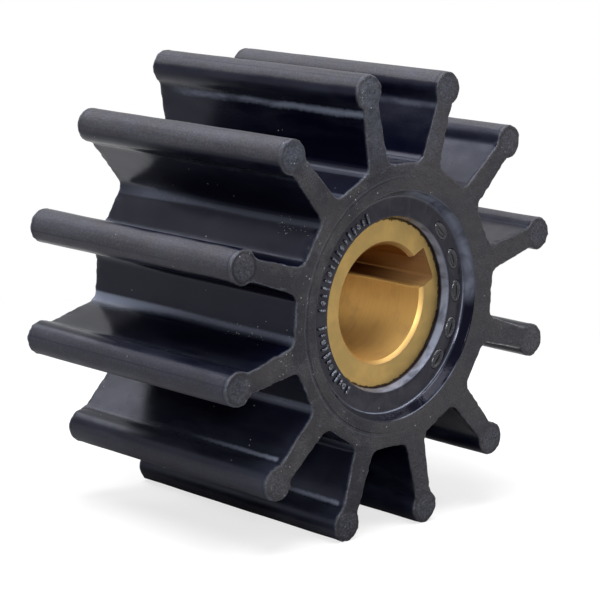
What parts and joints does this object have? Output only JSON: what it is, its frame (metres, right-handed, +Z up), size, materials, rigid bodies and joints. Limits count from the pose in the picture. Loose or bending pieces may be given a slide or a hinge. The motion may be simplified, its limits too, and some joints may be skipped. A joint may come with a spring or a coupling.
{
  "type": "rubber pump impeller",
  "caption": "Flexible rubber pump impeller with straight bead-tipped blades moulded on a keyed brass bush, with a ring-shaped recess in each end.",
  "frame": {"origin": "middle of the bore, halfway between the two ends", "axes": "+Y along the bore, from the front end to the back end; +Z up, with the rotor standing on two blades; +X to the right, seen from the front"},
  "size_m": [0.063, 0.04, 0.063],
  "materials": {
    "rubber": "matte ground end faces, smooth satin blades and valleys",
    "brass": "turned, with fine tool marks in the bore"
  },
  "bodies": {
    "root": {"rubber_body": "rubber", "brass_bush": "brass"}
  },
  "joints": []
}
